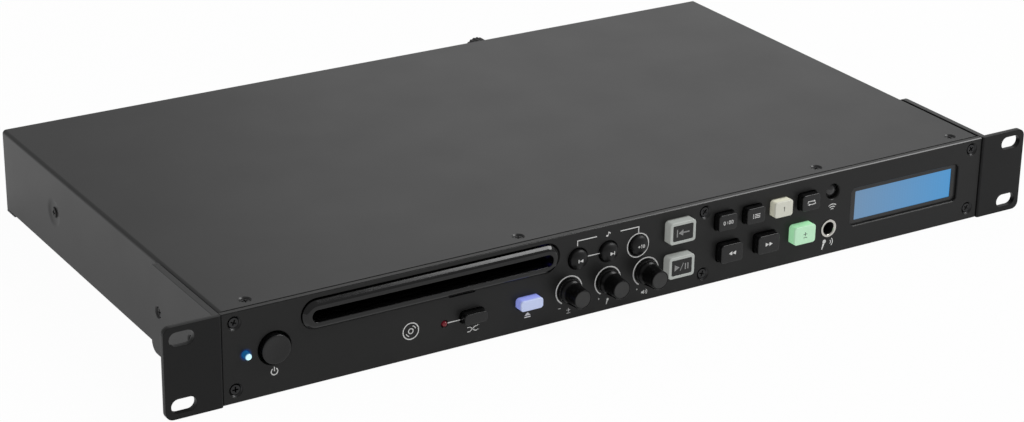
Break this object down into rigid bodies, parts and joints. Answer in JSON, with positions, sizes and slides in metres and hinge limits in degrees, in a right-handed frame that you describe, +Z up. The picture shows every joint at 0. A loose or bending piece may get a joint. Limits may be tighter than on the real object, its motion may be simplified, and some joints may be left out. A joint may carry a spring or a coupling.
{
  "type": "rack-mount CD player",
  "caption": "Slot-loading rack-mount disc player, one rack unit high, with transport keys, rotary knobs, a display, a microphone socket and rear sockets.",
  "frame": {"origin": "under the middle of the whole player, at the lowest level of the ears and the rear lip", "axes": "+X to the right seen from the front, +Y to the rear, +Z up"},
  "size_m": [0.4826, 0.2786, 0.0441],
  "materials": {
    "cover_paint": "satin dark grey powder paint",
    "panel_paint": "satin near-black paint on aluminium, with printed white marks",
    "ear_paint": "satin near-black powder paint on steel",
    "zinc_steel": "dull zinc-plated sheet steel",
    "gloss_black": "glossy black moulding",
    "smoked_window": "clear window over a dark frame",
    "screen": "lit light-blue liquid-crystal panel",
    "circuit_board": "green solder mask",
    "black_cap": "matt black button plastic with printed white symbols",
    "white_cap": "white translucent button plastic, lit",
    "violet_cap": "pale violet translucent button plastic, lit",
    "green_cap": "pale green translucent button plastic, lit",
    "grey_cap": "pale grey translucent button plastic with a dark inlaid face",
    "knob_black": "matt black knob plastic",
    "blue_lamp": "clear lamp lens, lit blue",
    "red_lamp": "red lamp lens",
    "nickel": "nickel-plated brass",
    "steel": "plain ground steel",
    "tin": "tin-plated steel",
    "rubber": "dark grey rubber",
    "white_gear": "off-white acetal",
    "drive_black": "matt black moulding",
    "copper": "copper windings under clear tape"
  },
  "bodies": {
    "case": {"front_panel": "panel_paint", "slot_bezel": "gloss_black", "display_window": "smoked_window", "display_module": "screen", "control_board": "circuit_board", "sensor_lens": "smoked_window", "mic_jack": "nickel", "power_led": "blue_lamp", "shuffle_led": "red_lamp", "pitch_potentiometer": "tin", "mic_volume_potentiometer": "tin", "master_potentiometer": "tin", "chassis_tray": "zinc_steel", "top_cover": "cover_paint", "rear_panel": "cover_paint", "rack_ear_left": "ear_paint", "rack_ear_right": "ear_paint", "main_board": "circuit_board", "power_supply_board": "circuit_board", "transformer": "copper", "power_inlet": "drive_black", "fuse_holder": "drive_black", "xlr_left": "nickel", "xlr_right": "nickel", "audio_outputs": "nickel", "digital_output": "nickel", "loader_frame": "drive_black", "loading_motor": "tin", "spindle_motor": "tin", "guide_rod_left": "steel", "guide_rod_right": "steel", "sled_motor": "tin"},
    "power_push": {"power_button": "black_cap"},
    "shuffle_push": {"shuffle_button": "black_cap"},
    "eject_push": {"eject_button": "violet_cap"},
    "cue_push": {"cue_button": "grey_cap"},
    "play_push": {"play_button": "grey_cap"},
    "time_push": {"time_button": "black_cap"},
    "program_push": {"program_button": "black_cap"},
    "single_push": {"single_button": "white_cap"},
    "repeat_push": {"repeat_button": "black_cap"},
    "reverse_push": {"reverse_button": "black_cap"},
    "forward_push": {"forward_button": "black_cap"},
    "pitch_push": {"pitch_button": "green_cap"},
    "previous_push": {"previous_button": "black_cap"},
    "next_push": {"next_button": "black_cap"},
    "plus_ten_push": {"plus_ten_button": "black_cap"},
    "pitch_turn": {"pitch_knob": "knob_black"},
    "mic_volume_turn": {"mic_volume_knob": "knob_black"},
    "master_turn": {"master_knob": "knob_black"},
    "roller": {"loading_roller": "rubber", "roller_shaft": "steel", "roller_gear": "white_gear"},
    "idler": {"idler_gear": "white_gear"},
    "pinion": {"motor_pinion": "steel"},
    "spindle": {"turntable": "drive_black"},
    "sled": {"pickup_sled": "drive_black"},
    "screw": {"lead_screw": "steel"},
    "arm": {"clamp_arm": "steel"},
    "puck": {"clamper": "drive_black"}
  },
  "joints": [
    {"name": "power_press", "type": "slide", "parent": "case", "child": "power_push", "axis": [0, 1, 0], "range_m": [0, 0.002], "stiffness_N_per_m": 600, "springref_m": -0.0005},
    {"name": "shuffle_press", "type": "slide", "parent": "case", "child": "shuffle_push", "axis": [0, 1, 0], "range_m": [0, 0.001], "stiffness_N_per_m": 600, "springref_m": -0.0005},
    {"name": "eject_press", "type": "slide", "parent": "case", "child": "eject_push", "axis": [0, 1, 0], "range_m": [0, 0.001], "stiffness_N_per_m": 600, "springref_m": -0.0005},
    {"name": "cue_press", "type": "slide", "parent": "case", "child": "cue_push", "axis": [0, 1, 0], "range_m": [0, 0.001], "stiffness_N_per_m": 600, "springref_m": -0.0005},
    {"name": "play_press", "type": "slide", "parent": "case", "child": "play_push", "axis": [0, 1, 0], "range_m": [0, 0.001], "stiffness_N_per_m": 600, "springref_m": -0.0005},
    {"name": "time_press", "type": "slide", "parent": "case", "child": "time_push", "axis": [0, 1, 0], "range_m": [0, 0.001], "stiffness_N_per_m": 600, "springref_m": -0.0005},
    {"name": "program_press", "type": "slide", "parent": "case", "child": "program_push", "axis": [0, 1, 0], "range_m": [0, 0.001], "stiffness_N_per_m": 600, "springref_m": -0.0005},
    {"name": "single_press", "type": "slide", "parent": "case", "child": "single_push", "axis": [0, 1, 0], "range_m": [0, 0.001], "stiffness_N_per_m": 600, "springref_m": -0.0005},
    {"name": "repeat_press", "type": "slide", "parent": "case", "child": "repeat_push", "axis": [0, 1, 0], "range_m": [0, 0.001], "stiffness_N_per_m": 600, "springref_m": -0.0005},
    {"name": "reverse_press", "type": "slide", "parent": "case", "child": "reverse_push", "axis": [0, 1, 0], "range_m": [0, 0.001], "stiffness_N_per_m": 600, "springref_m": -0.0005},
    {"name": "forward_press", "type": "slide", "parent": "case", "child": "forward_push", "axis": [0, 1, 0], "range_m": [0, 0.001], "stiffness_N_per_m": 600, "springref_m": -0.0005},
    {"name": "pitch_press", "type": "slide", "parent": "case", "child": "pitch_push", "axis": [0, 1, 0], "range_m": [0, 0.001], "stiffness_N_per_m": 600, "springref_m": -0.0005},
    {"name": "previous_press", "type": "slide", "parent": "case", "child": "previous_push", "axis": [0, 1, 0], "range_m": [0, 0.001], "stiffness_N_per_m": 600, "springref_m": -0.0005},
    {"name": "next_press", "type": "slide", "parent": "case", "child": "next_push", "axis": [0, 1, 0], "range_m": [0, 0.001], "stiffness_N_per_m": 600, "springref_m": -0.0005},
    {"name": "plus_ten_press", "type": "slide", "parent": "case", "child": "plus_ten_push", "axis": [0, 1, 0], "range_m": [0, 0.001], "stiffness_N_per_m": 600, "springref_m": -0.0005},
    {"name": "pitch_knob_turn", "type": "hinge", "parent": "case", "child": "pitch_turn", "pos_m": [-0.0354, -0.127, 0.0153], "axis": [0, 1, 0], "range_deg": [0, 300]},
    {"name": "mic_volume_knob_turn", "type": "hinge", "parent": "case", "child": "mic_volume_turn", "pos_m": [-0.01375, -0.127, 0.0153], "axis": [0, 1, 0], "range_deg": [0, 300]},
    {"name": "master_knob_turn", "type": "hinge", "parent": "case", "child": "master_turn", "pos_m": [0.0079, -0.127, 0.0153], "axis": [0, 1, 0], "range_deg": [0, 300]},
    {"name": "roller_spin", "type": "hinge", "parent": "case", "child": "roller", "pos_m": [-0.1828, -0.1055, 0.0275], "axis": [1, 0, 0], "continuous": true},
    {"name": "idler_spin", "type": "hinge", "parent": "case", "child": "idler", "pos_m": [-0.1828, -0.09324, 0.01722], "axis": [1, 0, 0], "continuous": true},
    {"name": "pinion_spin", "type": "hinge", "parent": "case", "child": "pinion", "pos_m": [-0.1828, -0.07971, 0.01229], "axis": [1, 0, 0], "continuous": true},
    {"name": "spindle_spin", "type": "hinge", "parent": "case", "child": "spindle", "pos_m": [-0.108, -0.04, 0.03], "axis": [0, 0, 1], "continuous": true},
    {"name": "sled_slide", "type": "slide", "parent": "case", "child": "sled", "axis": [0, 1, 0], "range_m": [0, 0.035]},
    {"name": "screw_spin", "type": "hinge", "parent": "case", "child": "screw", "pos_m": [-0.0785, -0.007, 0.0198], "axis": [0, 1, 0], "range_deg": [0, 2101]},
    {"name": "arm_lower", "type": "hinge", "parent": "case", "child": "arm", "pos_m": [-0.108, 0.0455, 0.04], "axis": [1, 0, 0], "range_deg": [0, 3.2], "stiffness_Nm_per_rad": 0.07, "springref_deg": -20.05},
    {"name": "puck_spin", "type": "hinge", "parent": "arm", "child": "puck", "pos_m": [-0.108, -0.04, 0.038], "axis": [0, 0, 1], "continuous": true}
  ],
  "couplings": [
    {"joint": "idler_spin", "follows": "roller_spin", "ratio": -0.66667},
    {"joint": "pinion_spin", "follows": "roller_spin", "ratio": 1.3333},
    {"joint": "screw_spin", "follows": "sled_slide", "rad_per_m": 1047.2}
  ]
}
